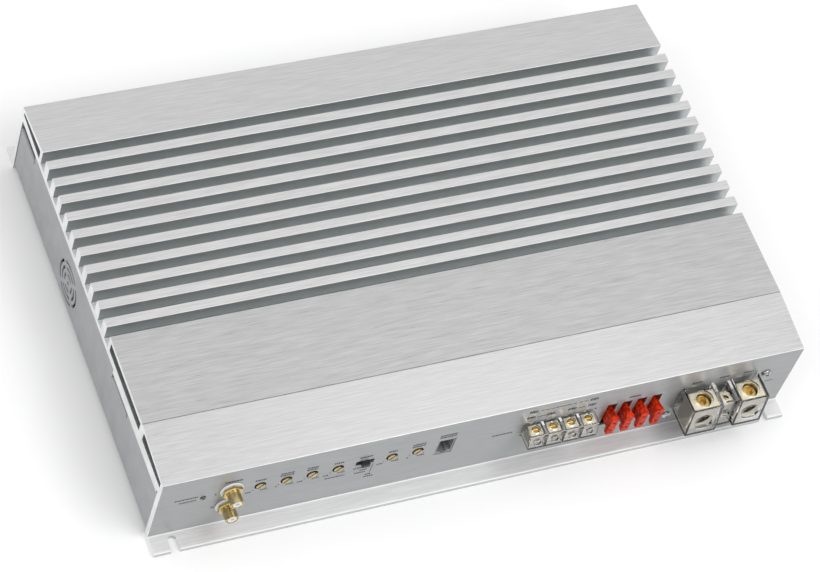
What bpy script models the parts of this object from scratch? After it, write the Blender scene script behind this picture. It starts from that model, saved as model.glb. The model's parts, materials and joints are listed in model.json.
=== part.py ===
"""A heavy two-channel car amplifier, as an assembly of separate pieces.

The case is one aluminium extrusion: fins along its length, three hollow chambers under its
flat stretches, a front panel wall, a back wall and two mounting flanges. A sheet tray with
upturned, grilled ends closes it from below. The sockets, trim controls, terminals and fuses
stand on the front wall; the boards, transformers and fan are inside.

Sizes are in millimetres and the helpers turn them into Blender's metres. X runs along the
case, Z is up, and y = 0 is the outer face of the front wall, with the room in front of it at
negative y. The empty that holds everything then puts the origin under the middle of the case.
"""

import math

import bmesh
import bpy
from mathutils import Matrix, Vector

MM = 0.001
CLEAR = 0.3  # gap between pieces that touch on the real object

# The extrusion
LENGTH = 420.0
FLANGE_REACH = 12.5
FLANGE_THICK = 3.0
FRONT_TOP = 61.9
BEND_Y = 40.4
TOP = 65.8
GROOVE = 0.3  # half the width of the fine V groove along the bend
BACK_EDGE = (273.5, 60.8)
BACK_FLANGE_Y = 284.7
FRONT_WALL = 4.4
BACK_WALL = 3.1
STRIP_EDGE_Y = 235.0
FIN_PITCH = 12.73
FIN_THICK = 6.3
FIN_GAPS = 11
GAP_FLOOR = 54.0
WEB_UNDER = 50.0
PAD_UNDER = 43.0
FRONT_WEB_UNDER = 46.5
FRONT_PAD = (60.0, 88.0)
BACK_PAD_Y = 244.3
PAD_SETBACK = 2.0
RAIL = (6.0, 4.5, 9.5)  # reach from the wall, underside and top of the two inner rails

# Mounting slots, open at the flange's edge
SLOT_X = 196.3
SLOT_WIDTH = 5.8
SLOT_DEPTH = 10.2

# The tray
SHEET = 1.2
TRAY_UNDER = 3.0
TRAY_X = 209.6
RELIEF = (1.0, 2.4)  # width and depth of the relief cut in each inside corner

# The fan and its grille
FAN_CENTRE = (167.0, 23.6)
FAN_SIDE = 35.0
FAN_DEPTH = 10.0
GRILLE_RADII = (14.4, 10.2, 6.0)
GRILLE_SLOT = 2.0

# The front wall's fittings: x, and z where they don't share one
LED_PLACE = (-181.5, 37.9)
RCA_X = -164.5
RCA_HEIGHTS = {"upper": 41.2, "lower": 23.5}
CONTROL_Z = 37.5
TRIM_XS = [-145.8 + 16.4 * i for i in range(4)] + [-62.0, -45.2]
SWITCH_X = -79.6
JACK_CENTRE = (-27.1, 36.0)
JACK_FACE = (11.4, 16.4)
SPEAKER_CENTRE = (47.4, 36.4)
SPEAKER_PITCH = 11.8
SPEAKER_DEPTH = 10.0
SPEAKER_LEAN = 1.8  # how far the foot of the cover's front stands out beyond its top
FUSE_XS = [83.4 + 10.2 * i for i in range(4)]
FUSE_Z = 31.1
FUSE_HEAD = (-9.4, 7.0)  # foot and top of the head, from the fuse's own middle
POWER_Z = (19.4, 44.2)
POWER_DEPTH = 17.9
POWER_LEAN = 2.5
POWER_BOXES = {"ground": (131.0, 152.4), "remote": (152.4, 164.2), "battery": (164.2, 184.0)}
POWER_SCREW_Y = -9.9
POWER_CLAMP_BACK = {"ground": -3.8, "remote": -5.4, "battery": -3.8}
WIRE_Z = 30.6
PANEL_SCREWS = {"left": (128.2, 14.4), "right": (190.3, 41.0)}

# Inside
BOARD = (9.8, 11.4)  # underside and top of the main board
BOARD_TOP = BOARD[1] + CLEAR
CONTROL_BOARD_Y = (12.0, 13.6)

FRONT_REACH = POWER_DEPTH + POWER_LEAN
Y_SHIFT = (FRONT_REACH - BACK_FLANGE_Y) / 2

TOWARDS_FRONT = (math.pi / 2, 0, 0)  # turns a piece's own +Z to point out of the front wall
ALONG_X = (math.pi / 2, 0, math.pi / 2)  # turns an outline's own x, y to the world's y, z


# ---------------------------------------------------------------- helpers


def clear_scene():
    for obj in list(bpy.data.objects):
        bpy.data.objects.remove(obj, do_unlink=True)


def new_collection(name):
    collection = bpy.data.collections.new(name)
    bpy.context.scene.collection.children.link(collection)
    return collection


def new_material(name, colour, roughness, metallic=0.0, alpha=1.0):
    made = bpy.data.materials.new(name)
    made.use_nodes = True
    shader = made.node_tree.nodes["Principled BSDF"]
    shader.inputs["Base Color"].default_value = (*colour, 1.0)
    shader.inputs["Roughness"].default_value = roughness
    shader.inputs["Metallic"].default_value = metallic
    shader.inputs["Alpha"].default_value = alpha
    return made


def add(name, data, location=(0, 0, 0), rotation=(0, 0, 0)):
    """A new object under the root empty, at a place in millimetres."""
    obj = bpy.data.objects.new(name, data)
    PARTS.objects.link(obj)
    obj.parent = ROOT
    obj.location = Vector(location) * MM
    obj.rotation_euler = rotation
    return obj


def box(name, low, high, origin=None):
    """A block between two corners, with its origin at its middle or at the point given."""
    low, high = Vector(low), Vector(high)
    middle = (low + high) / 2
    origin = Vector(origin) if origin else middle
    shape = bmesh.new()
    place = Matrix.Translation((middle - origin) * MM) @ Matrix.Diagonal((*((high - low) * MM), 1))
    bmesh.ops.create_cube(shape, size=1, matrix=place)
    mesh = bpy.data.meshes.new(name)
    shape.to_mesh(mesh)
    shape.free()
    return add(name, mesh, origin)


def cylinder(name, centre, radius, length, rotation=(0, 0, 0), sides=24):
    """A rod whose middle is at centre; it lies along its own Z."""
    shape = bmesh.new()
    bmesh.ops.create_cone(
        shape, cap_ends=True, segments=sides, radius1=radius * MM, radius2=radius * MM, depth=length * MM
    )
    mesh = bpy.data.meshes.new(name)
    shape.to_mesh(mesh)
    shape.free()
    return smooth(add(name, mesh, centre, rotation))


def turned(name, profile, location, rotation=(0, 0, 0), sides=32):
    """A lathe shape. The profile's (radius, height) points run down its outer side."""
    mesh = bpy.data.meshes.new(name)
    points = [(radius * MM, 0, height * MM) for radius, height in profile]
    mesh.from_pydata(points, [(i, i + 1) for i in range(len(points) - 1)], [])
    obj = add(name, mesh, location, rotation)
    screw = obj.modifiers.new("Turn", "SCREW")
    screw.steps = sides
    screw.render_steps = sides
    screw.use_merge_vertices = True
    screw.merge_threshold = 0.00001
    screw.use_smooth_shade = False
    return obj


def outline(name, loops, thickness, location, rotation=(0, 0, 0)):
    """A flat plate from closed loops of points; loops inside another are holes."""
    curve = bpy.data.curves.new(name, "CURVE")
    curve.dimensions = "2D"
    curve.fill_mode = "BOTH"
    curve.extrude = thickness * MM / 2
    for loop in loops:
        spline = curve.splines.new("POLY")
        spline.points.add(len(loop) - 1)
        for point, (across, up) in zip(spline.points, loop):
            point.co = (across * MM, up * MM, 0, 1)
        spline.use_cyclic_u = True
    drawn = add(name + "_outline", curve, location, rotation)
    bpy.context.view_layer.update()
    graph = bpy.context.evaluated_depsgraph_get()
    mesh = bpy.data.meshes.new_from_object(drawn.evaluated_get(graph))
    shape = bmesh.new()
    shape.from_mesh(mesh)
    bmesh.ops.remove_doubles(shape, verts=shape.verts, dist=0.000001)
    shape.to_mesh(mesh)
    shape.free()
    bpy.data.objects.remove(drawn)
    return add(name, mesh, location, rotation)


def ring(name, major, minor, location):
    """A torus lying flat, its turns around Z."""
    bpy.ops.mesh.primitive_torus_add(
        major_radius=major * MM, minor_radius=minor * MM, major_segments=28, minor_segments=10
    )
    made = bpy.context.object
    mesh = made.data
    bpy.data.objects.remove(made)
    return smooth(add(name, mesh, location), 60)


def smooth(obj, angle=40):
    obj.data.shade_smooth()
    obj.data.set_sharp_from_angle(angle=math.radians(angle))
    return obj


def helper(obj):
    """Takes a cutter, or a shape joined into another, out of the finished assembly."""
    PARTS.objects.unlink(obj)
    CUTTERS.objects.link(obj)
    obj.hide_render = True
    obj.display_type = "WIRE"
    return obj


def boolean(obj, operation, others):
    for other in others:
        modifier = obj.modifiers.new(operation.title(), "BOOLEAN")
        modifier.operation = operation
        modifier.object = helper(other)
        modifier.solver = "EXACT"
    return obj


def cut(obj, *cutters):
    return boolean(obj, "DIFFERENCE", cutters)


def join(obj, *others):
    return boolean(obj, "UNION", others)


def lean(obj, reach):
    """Moves the foot of a block's front face forwards, so that the face leans back."""
    for vertex in obj.data.vertices:
        if vertex.co.y < 0 and vertex.co.z < 0:
            vertex.co.y -= reach * MM
    return obj


def bevel(obj, width, segments=2, angle=50):
    modifier = obj.modifiers.new("Soft edges", "BEVEL")
    modifier.width = width * MM
    modifier.segments = segments
    modifier.limit_method = "ANGLE"
    modifier.angle_limit = math.radians(angle)
    return obj


def finish(obj, material):
    obj.data.materials.clear()
    obj.data.materials.append(material)
    return obj


def rounded(corners, steps=3):
    """An outline whose corners, each (across, up, radius), are rounded by short arcs."""
    made = []
    for i, (across, up, radius) in enumerate(corners):
        here = Vector((across, up))
        if not radius:
            made.append(here)
            continue
        before = (Vector(corners[i - 1][:2]) - here).normalized()
        after = (Vector(corners[(i + 1) % len(corners)][:2]) - here).normalized()
        half = before.angle(after) / 2
        centre = here + (before + after).normalized() * radius / math.sin(half)
        start = here + before * radius / math.tan(half) - centre
        sweep = start.angle_signed(here + after * radius / math.tan(half) - centre)
        for step in range(steps + 1):
            turn = Matrix.Rotation(-sweep * step / steps, 2)
            made.append(centre + turn @ start)
    return [tuple(point) for point in made]


def rectangle(low, high):
    return [low, (high[0], low[1]), high, (low[0], high[1])]


# ---------------------------------------------------------------- the extrusion


def slope_at(y):
    """The height of the sloping front stretch of the top."""
    return FRONT_TOP + (TOP - FRONT_TOP) * y / BEND_Y


def outer_profile():
    """The section's outside, from the front flange over the fins to the back and inside again."""
    front_rail = FRONT_WALL + RAIL[0]
    back_wall = BACK_EDGE[0] - BACK_WALL
    corners = [
        (-FLANGE_REACH, 0, 0.3),
        (-FLANGE_REACH, FLANGE_THICK, 0.9),
        (0, FLANGE_THICK, 0.8),
        (0, FRONT_TOP, 0.6),
        (BEND_Y - GROOVE, slope_at(BEND_Y - GROOVE), 0),
        (BEND_Y, TOP - 2 * GROOVE, 0),
        (BEND_Y + GROOVE, TOP, 0),
    ]
    first_gap = STRIP_EDGE_Y - FIN_GAPS * FIN_PITCH + FIN_THICK
    for i in range(FIN_GAPS):
        near = first_gap + i * FIN_PITCH
        far = near + FIN_PITCH - FIN_THICK
        corners += [(near, TOP, 0.35), (near, GAP_FLOOR, 0.6), (far, GAP_FLOOR, 0.6), (far, TOP, 0.35)]
    corners += [
        (*BACK_EDGE, 0.8),
        (BACK_EDGE[0], FLANGE_THICK, 0.8),
        (BACK_FLANGE_Y, FLANGE_THICK, 0.9),
        (BACK_FLANGE_Y, 0, 0.3),
        (back_wall, 0, 0.3),
        (back_wall, RAIL[1], 0),
        (back_wall - RAIL[0], RAIL[1], 0),
        (back_wall - RAIL[0], RAIL[2], 0),
        (back_wall, RAIL[2], 0),
        (back_wall, PAD_UNDER, 0),
        (BACK_PAD_Y, PAD_UNDER, 0),
        (BACK_PAD_Y, WEB_UNDER, 0),
        (FRONT_PAD[1], WEB_UNDER, 0),
        (FRONT_PAD[1], PAD_UNDER, 0),
        (FRONT_PAD[0], PAD_UNDER, 0),
        (FRONT_PAD[0], FRONT_WEB_UNDER, 0),
        (FRONT_WALL + 1.3, FRONT_WEB_UNDER, 0),
        (FRONT_WALL + 1.0, FRONT_WEB_UNDER + 2.6, 0.3),
        (FRONT_WALL, FRONT_WEB_UNDER + 2.6, 0.3),
        (FRONT_WALL, RAIL[2], 0),
        (front_rail, RAIL[2], 0),
        (front_rail, RAIL[1], 0),
        (FRONT_WALL, RAIL[1], 0),
        (FRONT_WALL, 0, 0.3),
    ]
    return rounded(corners)


def chambers():
    """The three hollows that run the whole length, under the flat stretches of the top."""
    front = [(3.5, 55.2), (3.5, 59.8), (35.9, 63.0), (36.2, 55.2)]
    middle = rectangle((42.4, 55.4), (98.0, 62.7))
    back = [(238.5, 54.4), (238.5, 61.7), (270.2, 58.8), (270.2, 56.4)]
    return [rounded([(*point, 0.5) for point in loop], 2) for loop in (front, middle, back)]


def through_wall(name, low, high):
    """A cutter through the front wall, between two (x, z) corners."""
    return box(name, (low[0], -2, low[1]), (high[0], FRONT_WALL + 2, high[1]))


def hole_through_wall(name, place, diameter, sides=24):
    centre = (place[0], FRONT_WALL / 2, place[1])
    return cylinder(name, centre, diameter / 2, FRONT_WALL + 4, TOWARDS_FRONT, sides)


def slot_cutter(name, x, inner_y, outwards):
    """An open-ended mounting slot: a round end and straight sides that run off the flange."""
    far = SLOT_DEPTH + 4
    arc = [math.pi * step / 8 for step in range(9)]
    half = SLOT_WIDTH / 2
    loop = [(half * math.cos(a), -half + half * math.sin(a)) for a in arc]
    loop += [(-half, -far), (half, -far)]
    turn = 0 if outwards < 0 else math.pi
    return outline(name, [loop], 4 * FLANGE_THICK, (x, inner_y, FLANGE_THICK / 2), (0, 0, turn))


def wall_openings():
    """Every hole in the front wall, one for each fitting."""
    cutters = [hole_through_wall("led_hole", LED_PLACE, 3.8, 16)]
    for level, z in RCA_HEIGHTS.items():
        cutters.append(hole_through_wall("rca_hole_" + level, (RCA_X, z), 9.4))
    for i, x in enumerate(TRIM_XS):
        cutters.append(hole_through_wall(f"trim_hole_{i + 1}", (x, CONTROL_Z), 7.4))
    cutters.append(through_wall("switch_hole", (SWITCH_X - 5.9, 36.0), (SWITCH_X + 5.9, 40.4)))
    half_w, half_h = JACK_FACE[0] / 2, JACK_FACE[1] / 2
    x, z = JACK_CENTRE
    cutters.append(through_wall("jack_hole", (x - half_w, z - half_h), (x + half_w, z + half_h)))
    x, z = SPEAKER_CENTRE
    cutters.append(through_wall("speaker_hole", (x - 21, z - 3.4), (x + 21, z + 2)))
    for i, x in enumerate(FUSE_XS):
        low, high = (x - 3.25, FUSE_Z - 12), (x + 3.25, FUSE_Z + 12)
        cutters.append(through_wall(f"fuse_hole_{i + 1}", low, high))
    low, high = POWER_BOXES["ground"][0] + 3, POWER_BOXES["battery"][1] - 3
    cutters.append(through_wall("power_hole", (low, 26), (high, 36)))
    for side, place in PANEL_SCREWS.items():
        cutters.append(hole_through_wall("panel_screw_hole_" + side, place, 3.6, 16))
    return cutters


def tray_screw_places():
    back = BACK_EDGE[0] - BACK_WALL - RAIL[0] / 2
    front = FRONT_WALL + RAIL[0] / 2
    return [(x, y) for y in (front, back) for x in (-180, 0, 180)]


def set_back_regions():
    """Where the pads and rails are milled back at each end, to clear the tray: y and z limits."""
    back_wall = BACK_EDGE[0] - BACK_WALL
    return [
        (FRONT_PAD[0] - 1, FRONT_PAD[1] + 1, PAD_UNDER - 1, FRONT_WEB_UNDER),
        (BACK_PAD_Y - 1, back_wall, PAD_UNDER - 1, WEB_UNDER),
        (FRONT_WALL, FRONT_WALL + RAIL[0] + 1, RAIL[1] - 1, RAIL[2] + 1),
        (back_wall - RAIL[0] - 1, back_wall, RAIL[1] - 1, RAIL[2] + 1),
    ]


def make_extrusion():
    body = outline("heatsink_extrusion", [outer_profile(), *chambers()], LENGTH, (0, 0, 0), ALONG_X)
    cutters = []
    for x in (-SLOT_X, SLOT_X):
        cutters.append(slot_cutter(f"front_slot_{x:.0f}", x, -FLANGE_REACH + SLOT_DEPTH, -1))
        cutters.append(slot_cutter(f"back_slot_{x:.0f}", x, BACK_FLANGE_Y - SLOT_DEPTH, 1))
    for side in (-1, 1):
        inner, outer = sorted((side * (LENGTH / 2 - PAD_SETBACK), side * (LENGTH / 2 + 1)))
        for i, (near, far, under, over) in enumerate(set_back_regions()):
            cutters.append(box(f"set_back_{side}_{i}", (inner, near, under), (outer, far, over)))
    for i, (x, y) in enumerate(tray_screw_places()):
        cutters.append(cylinder(f"rail_hole_{i + 1}", (x, y, RAIL[2] - 2), 1.6, 10, sides=12))
    cut(body, *wall_openings(), *cutters)
    return finish(body, ALUMINIUM)


# ---------------------------------------------------------------- the tray


def grille_slots():
    """Three broken rings of slots round a small hole, bridged on the diagonals."""
    y, z = FAN_CENTRE
    loops = [[(y + 1.3 * math.cos(a), z + 1.3 * math.sin(a)) for a in turns(10)]]
    for radius in GRILLE_RADII:
        bridge = 1.6 / radius
        for quarter in range(4):
            start = math.radians(45 + 90 * quarter) + bridge
            stop = math.radians(135 + 90 * quarter) - bridge
            angles = [start + (stop - start) * step / 7 for step in range(8)]
            inner, outer = radius - GRILLE_SLOT / 2, radius + GRILLE_SLOT / 2
            loop = [(y + outer * math.cos(a), z + outer * math.sin(a)) for a in angles]
            loop += [(y + inner * math.cos(a), z + inner * math.sin(a)) for a in reversed(angles)]
            loops.append(loop)
    return loops


def turns(count):
    return [2 * math.pi * step / count for step in range(count)]


def end_trim():
    """What is cut away over both upturned ends, so that they follow the extrusion's underside."""
    web, pad, front = (z - CLEAR for z in (WEB_UNDER, PAD_UNDER, FRONT_WEB_UNDER))
    width, depth = RELIEF
    low_edge, high_edge = FRONT_PAD[0] - CLEAR, FRONT_PAD[1] + CLEAR
    back_edge = BACK_PAD_Y - CLEAR
    points = [
        (FRONT_WALL - 5, front),
        (low_edge, front),
        (low_edge, pad - depth),
        (low_edge + width, pad - depth),
        (low_edge + width, pad),
        (high_edge - width, pad),
        (high_edge - width, pad - depth),
        (high_edge, pad - depth),
        (high_edge, web),
    ]
    for nick in (FAN_CENTRE[0] - 20, FAN_CENTRE[0] + 20):
        points += [(nick - 0.8, web), (nick - 0.8, web - 1.8), (nick + 0.8, web - 1.8), (nick + 0.8, web)]
    points += [
        (back_edge, web),
        (back_edge, pad - depth),
        (back_edge + width, pad - depth),
        (back_edge + width, pad),
        (BACK_EDGE[0], pad),
        (BACK_EDGE[0], TOP),
        (FRONT_WALL - 5, TOP),
    ]
    return points


def make_tray():
    near, far = FRONT_WALL + CLEAR, BACK_EDGE[0] - BACK_WALL - CLEAR
    floor = TRAY_UNDER + SHEET
    inner = TRAY_X - SHEET
    section = rounded(
        [
            (-TRAY_X, WEB_UNDER + 2, 0),
            (-TRAY_X, TRAY_UNDER, 1.6),
            (TRAY_X, TRAY_UNDER, 1.6),
            (TRAY_X, WEB_UNDER + 2, 0),
            (inner, WEB_UNDER + 2, 0),
            (inner, floor, 0.5),
            (-inner, floor, 0.5),
            (-inner, WEB_UNDER + 2, 0),
        ]
    )
    middle = (0, (near + far) / 2, 0)
    tray = outline("bottom_tray", [section], far - near, middle, TOWARDS_FRONT)
    across = 2 * TRAY_X + 10
    cutters = [outline("end_trim", [end_trim()], across, (0, 0, 0), ALONG_X)]
    for i, loop in enumerate(grille_slots()):
        cutters.append(outline(f"grille_{i}", [loop], across, (0, 0, 0), ALONG_X))
    for i, (x, y) in enumerate(tray_screw_places()):
        cutters.append(cylinder(f"tray_hole_{i + 1}", (x, y, floor), 1.7, 8, sides=12))
    cut(tray, *cutters)
    finish(tray, END_PAINT)


def make_tray_screws():
    """Pan heads under the tray, with their shanks up in the rails."""
    for i, (x, y) in enumerate(tray_screw_places()):
        head = TRAY_UNDER - CLEAR
        profile = [(0, RAIL[2] - 0.5), (1.3, RAIL[2] - 0.5), (1.3, head), (2.8, head)]
        profile += [(2.8, head - 0.5), (1.9, head - 1.2), (0, head - 1.2)]
        screw = turned(f"tray_screw_{i + 1}", profile, (x, y, 0), sides=16)
        recess = box(f"tray_recess_{i + 1}", (x - 1.5, y - 0.3, head - 3), (x + 1.5, y + 0.3, head - 0.7))
        cut(screw, recess)
        finish(screw, BLACK_STEEL)


# ---------------------------------------------------------------- front fittings


def make_led():
    x, z = LED_PLACE
    dome = [(1.5 * math.sin(a), 1.5 * math.cos(a)) for a in (math.pi / 2 * s / 4 for s in range(5))]
    led = turned("power_led", [*dome, (1.5, -4.6), (0, -4.6)], (x, 0, z), TOWARDS_FRONT, 16)
    legs = []
    for side in (-0.8, 0.8):
        low, high = (x + side - 0.3, 4, z - 0.3), (x + side + 0.3, 8, z + 0.3)
        legs.append(box(f"led_leg_{side}", low, high))
        low, high = (x + side - 0.3, 7.4, BOARD_TOP), (x + side + 0.3, 8, z + 0.2)
        legs.append(box(f"led_pin_{side}", low, high))
    join(led, *legs)
    finish(led, LED_LENS)


def make_rca(level, z):
    """A gold shell with a hexagonal shoulder, on a white washer, round a white insert."""
    place = (RCA_X, 0, z)
    washer = [(7.2, 1.3), (7.2, CLEAR), (4.4, CLEAR), (4.4, -3.8), (4.0, -3.8), (4.0, 1.3), (7.2, 1.3)]
    finish(turned(f"rca_{level}_washer", washer, place, TOWARDS_FRONT), WHITE_NYLON)
    barrel = [(3.55, 11.2), (3.9, 11.2), (4.15, 10.9), (4.15, 1.65), (3.6, 1.65), (3.6, -9.0)]
    barrel += [(3.2, -9.0), (3.2, 10.8), (3.55, 11.2)]
    shell = turned(f"rca_{level}_shell", barrel, place, TOWARDS_FRONT)
    nut = cylinder(f"rca_nut_{level}", (RCA_X, -2.6, z), 6.7, 2.0, TOWARDS_FRONT, 6)
    bevel(nut, 0.35)
    bore = cylinder(f"rca_nut_bore_{level}", (RCA_X, -2.6, z), 3.6, 6, TOWARDS_FRONT)
    cut(nut, bore)
    join(shell, nut)
    finish(shell, GOLD)
    insert = [(1.5, 10.9), (2.9, 10.9), (2.9, -6), (0, -6), (0, 2.5), (1.5, 2.5), (1.5, 10.9)]
    finish(turned(f"rca_{level}_insert", insert, place, TOWARDS_FRONT, 24), WHITE_NYLON)


def make_trim_pots():
    """Six slotted brass spindles, and the board that carries the bodies that they turn in."""
    low, high = TRIM_XS[0] - 7, TRIM_XS[-1] + 7
    front, back = CONTROL_BOARD_Y
    board = box("control_board", (low, front, BOARD_TOP), (high, back, 45.8))
    bodies = []
    bores = []
    for i, x in enumerate(TRIM_XS):
        corner = (x - 4.7, FRONT_WALL + 1.2, CONTROL_Z - 4.7)
        bodies.append(box(f"trim_body_{i + 1}", corner, (x + 4.7, front + 0.5, CONTROL_Z + 4.7)))
        centre = (x, front - 3, CONTROL_Z)
        bores.append(cylinder(f"trim_bore_{i + 1}", centre, 2.4, 8, TOWARDS_FRONT, 16))
    join(board, *bodies)
    cut(board, *bores)
    finish(board, BOARD_GREEN)
    for i, x in enumerate(TRIM_XS):
        profile = [(0, 0.8), (2.6, 0.8), (2.8, 0.6), (2.8, -4.9), (2.0, -4.9), (2.0, -10.5), (0, -10.5)]
        spindle = turned(f"trim_spindle_{i + 1}", profile, (x, 0, CONTROL_Z), TOWARDS_FRONT, 24)
        slot = box(f"trim_slot_{i + 1}", (x - 4, -1.6, CONTROL_Z - 0.45), (x + 4, 0.2, CONTROL_Z + 0.45))
        slot.rotation_euler = (0, math.radians(-50), 0)
        cut(spindle, slot)
        finish(spindle, BRASS)


def make_mode_switch():
    x, z = SWITCH_X, 38.2
    front, back = FRONT_WALL + 0.4, CONTROL_BOARD_Y[0] - CLEAR
    body = box("mode_switch_body", (x - 8, front, z - 5), (x + 8, back, z + 5))
    channel = box("switch_channel", (x - 6.6, front - 1, z - 2.1), (x + 6.6, back - 1.5, z + 2.1))
    cut(body, channel)
    finish(body, BLACK_PLASTIC)
    knob = box("mode_switch_slider", (x - 2.5, -2.8, z - 1.75), (x + 2.5, back - 2, z + 1.75), (x, 0, z))
    bevel(knob, 0.3, 1)
    finish(knob, BLACK_PLASTIC)


def make_remote_jack():
    """A modular socket whose nose fills its hole in the wall."""
    x, z = JACK_CENTRE
    half_w, half_h = JACK_FACE[0] / 2 - CLEAR, JACK_FACE[1] / 2 - CLEAR
    jack = box("remote_jack", (x - 7.2, FRONT_WALL + 0.4, BOARD_TOP), (x + 7.2, 19, z + 9.6))
    nose = box("jack_nose", (x - half_w, 0.3, z - half_h), (x + half_w, FRONT_WALL + 1, z + half_h))
    join(jack, nose)
    cavity = box("jack_cavity", (x - 4.6, -1, z - 5.6), (x + 4.6, 15, z + 6.9))
    latch = box("jack_latch", (x - 1.9, -1, z - 7.2), (x + 1.9, 12, z - 5))
    cut(jack, cavity, latch)
    finish(jack, GREY_PLASTIC)


def make_speaker_terminals():
    """Four screw clamps in a row under a clear cover that is open towards the wall."""
    x, z = SPEAKER_CENTRE
    half_w, half_h = 23.2, 5.9
    low = (x - half_w, -SPEAKER_DEPTH, z - half_h)
    cover = lean(box("speaker_terminal_cover", low, (x + half_w, -CLEAR, z + half_h)), SPEAKER_LEAN)
    bevel(cover, 0.5)
    hollows = []
    holes = []
    places = [x + (i - 1.5) * SPEAKER_PITCH for i in range(4)]
    screw_y = -4.6
    wire_z = z - 0.4
    skin = 1.1
    for i, place in enumerate(places):
        inner = (place - 5.1, skin - SPEAKER_DEPTH, z - half_h + skin)
        cell = box(f"speaker_cell_{i + 1}", inner, (place + 5.1, 1, z + half_h - skin))
        hollows.append(lean(cell, SPEAKER_LEAN))
        holes.append(cylinder(f"speaker_key_hole_{i + 1}", (place, screw_y, z + 5.5), 2.9, 4, sides=20))
        centre = (place, -SPEAKER_DEPTH - 0.6, wire_z)
        holes.append(cylinder(f"speaker_wire_hole_{i + 1}", centre, 2.4, 5, TOWARDS_FRONT, 20))
    cut(cover, *hollows, *holes)
    finish(cover, CLEAR_PLASTIC)
    for i, place in enumerate(places):
        clamp = box(f"speaker_clamp_{i + 1}", (place - 4.3, -8.6, z - 4.4), (place + 4.3, -1.2, z + 4.5))
        bevel(clamp, 0.3, 1)
        tail = box(f"speaker_tail_{i + 1}", (place - 1.5, -2, z - 1.5), (place + 1.5, 12, z - 0.3))
        pin = box(f"speaker_pin_{i + 1}", (place - 1.5, 10.8, BOARD_TOP), (place + 1.5, 12, z - 0.5))
        join(clamp, tail, pin)
        wire = cylinder(f"speaker_bore_{i + 1}", (place, -7, wire_z), 2.1, 9, TOWARDS_FRONT, 20)
        key = cylinder(f"speaker_thread_{i + 1}", (place, screw_y, z + 3), 2.4, 8, sides=20)
        cut(clamp, wire, key)
        finish(clamp, PALE_GOLD)
        profile = [(0, 2.6), (1.8, 2.6), (2.1, 2.3), (2.1, 0), (0, 0)]
        screw = turned(f"speaker_screw_{i + 1}", profile, (place, screw_y, z + 2.2), sides=20)
        low, high = (place - 3, screw_y - 0.35, z + 4.0), (place + 3, screw_y + 0.35, z + 6)
        cut(screw, box(f"speaker_screw_slot_{i + 1}", low, high))
        finish(screw, GOLD)


def fuse_shoulder(name, x):
    """The part of a fuse that narrows from the top of its head back to a point in the slot."""
    slot = [(0, 9.0), (2.0, 5.1), (2.0, -1.0), (-2.0, -1.0), (-2.0, 5.1)]
    points = [(across, 1.0, up) for across, up in slot]
    points += [(across, y, up) for across in (-2.4, 2.4) for y in (-7.9, -6.3) for up in (-1.0, 6.7)]
    shape = bmesh.new()
    for point in points:
        shape.verts.new(Vector(point) * MM)
    bmesh.ops.convex_hull(shape, input=shape.verts)
    mesh = bpy.data.meshes.new(name)
    shape.to_mesh(mesh)
    shape.free()
    return add(name, mesh, (x, 0, FUSE_Z))


def make_fuses():
    """Four blade fuses that push into one holder, which fills their slots in the wall."""
    front, back = FRONT_WALL + 0.4, 20.0
    low = (FUSE_XS[0] - 5.2, front, BOARD_TOP)
    holder = box("fuse_holder", low, (FUSE_XS[-1] + 5.2, back, FUSE_Z + 13.6))
    noses = []
    pockets = []
    for i, x in enumerate(FUSE_XS):
        nose_low, nose_high = (x - 2.95, 0.5, FUSE_Z - 11.7), (x + 2.95, front + 1, FUSE_Z + 11.7)
        noses.append(box(f"fuse_nose_{i + 1}", nose_low, nose_high))
        pocket = ((x - 3.0, -1, FUSE_Z - 10.0), (x + 3.0, 9, FUSE_Z + 10.0))
        pockets.append(box(f"fuse_pocket_{i + 1}", *pocket))
        for side in (-5, 5):
            blade = ((x - 0.7, 8, FUSE_Z + side - 3), (x + 0.7, 18.4, FUSE_Z + side + 3))
            pockets.append(box(f"blade_slot_{i + 1}_{side}", *blade))
    join(holder, *noses)
    cut(holder, *pockets)
    finish(holder, BLACK_PLASTIC)
    for i, x in enumerate(FUSE_XS):
        foot, top = FUSE_HEAD
        head = [(-2.6, -8.4), (2.6, -8.4), (2.6, -6.2), (1.5, -3.9), (-1.5, -3.9), (-2.6, -6.2)]
        fuse = outline(f"fuse_{i + 1}", [head], top - foot, (x, 0, FUSE_Z + (foot + top) / 2))
        bevel(fuse, 0.4)
        stem = [(0, 9.3), (2.1, 5.2), (2.1, -5.2), (0, -9.3), (-2.1, -5.2), (-2.1, 5.2)]
        core = outline(f"fuse_stem_{i + 1}", [stem], 13.0, (x, 1.5, FUSE_Z), TOWARDS_FRONT)
        blades = []
        tests = []
        for side in (-5, 5):
            blade = ((x - 0.35, 7, FUSE_Z + side - 2.6), (x + 0.35, 16.5, FUSE_Z + side + 2.6))
            blades.append(box(f"fuse_blade_{i + 1}_{side}", *blade))
            middle = FUSE_Z + (foot + top) / 2 + side * 0.8
            test = ((x - 0.8, -9.4, middle - 0.8), (x + 0.8, -7.6, middle + 0.8))
            tests.append(box(f"fuse_test_{i + 1}_{side}", *test))
        join(fuse, core, fuse_shoulder(f"fuse_shoulder_{i + 1}", x), *blades)
        cut(fuse, *tests)
        finish(fuse, FUSE_RED)


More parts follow.
